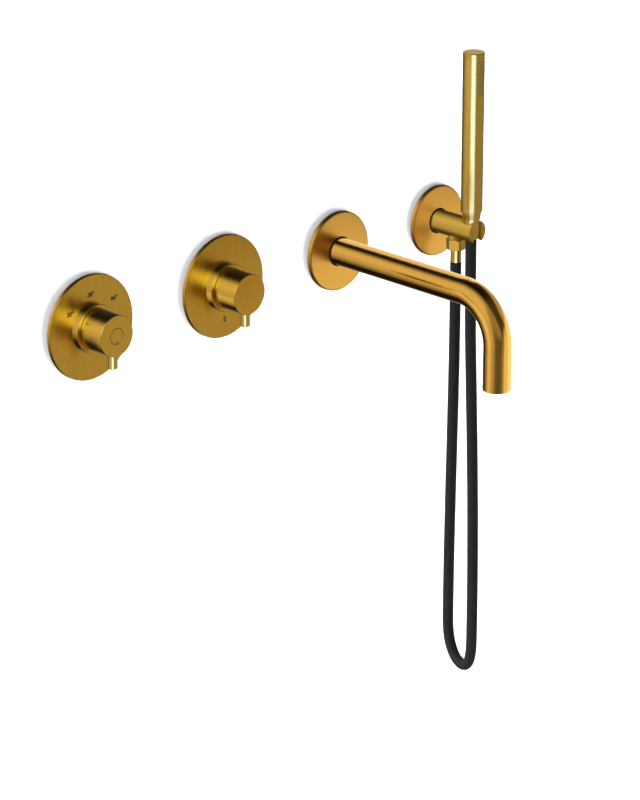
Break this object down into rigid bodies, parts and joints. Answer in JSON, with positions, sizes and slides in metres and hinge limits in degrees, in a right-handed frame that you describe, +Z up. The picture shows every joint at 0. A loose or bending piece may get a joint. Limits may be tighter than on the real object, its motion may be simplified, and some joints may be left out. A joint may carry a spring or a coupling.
{
  "type": "wall mounted bath faucet",
  "caption": "Concealed wall bath faucet: thermostat and diverter knobs on round plates, long bent spout, and a forked arm holding a stick hand shower on a black hose.",
  "frame": {"origin": "centre of the spout plate's back face, on the finished wall", "axes": "+X along the wall to the right seen from the room, +Y into the wall, +Z up"},
  "size_m": [0.606, 0.317, 0.7336],
  "materials": {
    "brushed_gold": "finely brushed, antique gold tone",
    "bright_gold": "polished gold tone",
    "satin_gold": "satin polished, warm gold tone",
    "soft_brushed_gold": "softly brushed, gold tone",
    "raw_brass": "raw cast and turned brass",
    "copper": "drawn copper pipe",
    "zinc_steel": "zinc plated",
    "stainless": "plain stainless steel",
    "black_plastic": "moulded",
    "white_plastic": "moulded",
    "ceramic": "lapped",
    "hose_black": "matte smooth hose cover",
    "black_rubber": "moulded",
    "nozzle_rubber": "moulded silicone"
  },
  "bodies": {
    "root": {"thermostat_valve_body": "raw_brass", "thermostat_cartridge": "raw_brass", "thermostat_return_spring": "stainless", "temperature_stop_ring": "black_plastic", "check_valves": "black_plastic", "diverter_valve_body": "raw_brass", "diverter_cartridge": "raw_brass", "diverter_fixed_disc": "ceramic", "link_pipe": "copper", "spout_feed_pipe": "copper", "shower_feed_pipe": "copper", "spout_wall_elbow": "raw_brass", "shower_wall_elbow": "raw_brass", "union_nuts": "raw_brass", "mounting_rail": "zinc_steel", "rail_screws": "zinc_steel", "control_plate_gaskets": "black_rubber", "thermostat_plate": "brushed_gold", "thermostat_skirt": "brushed_gold", "diverter_plate": "brushed_gold", "diverter_skirt": "brushed_gold", "spout_plate": "satin_gold", "spout_plate_gasket": "black_rubber", "spout_tube": "satin_gold", "spout_socket": "raw_brass", "spout_nipple": "raw_brass", "aerator_housing": "soft_brushed_gold", "aerator_screen": "black_plastic", "shower_plate": "satin_gold", "shower_plate_gasket": "black_rubber", "holder_arm": "soft_brushed_gold", "holder_nipple": "raw_brass", "trim_grub_screws": "stainless", "hose_nut": "soft_brushed_gold", "hose_ferrule": "soft_brushed_gold", "wall_hose_washer": "black_rubber", "shower_hose": "hose_black"},
    "thermostat_knob": {"thermostat_handle": "brushed_gold", "thermostat_lever": "bright_gold", "thermostat_handle_screw": "stainless", "thermostat_spindle": "raw_brass", "thermostat_spindle_adapter": "raw_brass", "button_spring": "stainless"},
    "button": {"safety_button": "brushed_gold"},
    "regulator": {"adjusting_nut": "raw_brass", "thermo_element": "raw_brass"},
    "diverter_knob": {"diverter_handle": "brushed_gold", "diverter_lever": "bright_gold", "diverter_handle_screw": "stainless", "diverter_spindle": "raw_brass", "diverter_spindle_adapter": "raw_brass", "diverter_moving_disc": "ceramic"},
    "hose_end": {"hose_cone": "soft_brushed_gold", "hand_shower_washer": "black_rubber"},
    "hand_shower": {"hand_shower_body": "soft_brushed_gold", "hand_shower_cap": "soft_brushed_gold", "hand_shower_inlet": "raw_brass", "nozzle_insert": "nozzle_rubber", "water_tube": "white_plastic"}
  },
  "joints": [
    {"name": "thermostat_turn", "type": "hinge", "parent": "root", "child": "thermostat_knob", "pos_m": [-0.355, 0, 0], "axis": [0, 1, 0], "range_deg": [0, 245]},
    {"name": "thermostat_regulate", "type": "slide", "parent": "root", "child": "regulator", "axis": [0, 1, 0], "range_m": [0, 0.00105], "deforming": ["thermostat_return_spring"]},
    {"name": "safety_button_press", "type": "slide", "parent": "thermostat_knob", "child": "button", "axis": [0, 1, 0], "range_m": [0, 0.003], "stiffness_N_per_m": 700, "springref_m": -0.002, "deforming": ["button_spring"]},
    {"name": "diverter_turn", "type": "hinge", "parent": "root", "child": "diverter_knob", "pos_m": [-0.17, 0, 0], "axis": [0, 1, 0], "range_deg": [-90, 90]},
    {"name": "hand_shower_lift", "type": "slide", "parent": "root", "child": "hose_end", "axis": [0, 0, 1], "range_m": [0, 0.06]},
    {"name": "hand_shower_swivel", "type": "hinge", "parent": "hose_end", "child": "hand_shower", "pos_m": [0.155, -0.0542, 0], "axis": [0, 0, 1], "continuous": true}
  ],
  "couplings": [
    {"joint": "thermostat_regulate", "follows": "thermostat_turn", "m_per_rad": 0.00023873}
  ]
}
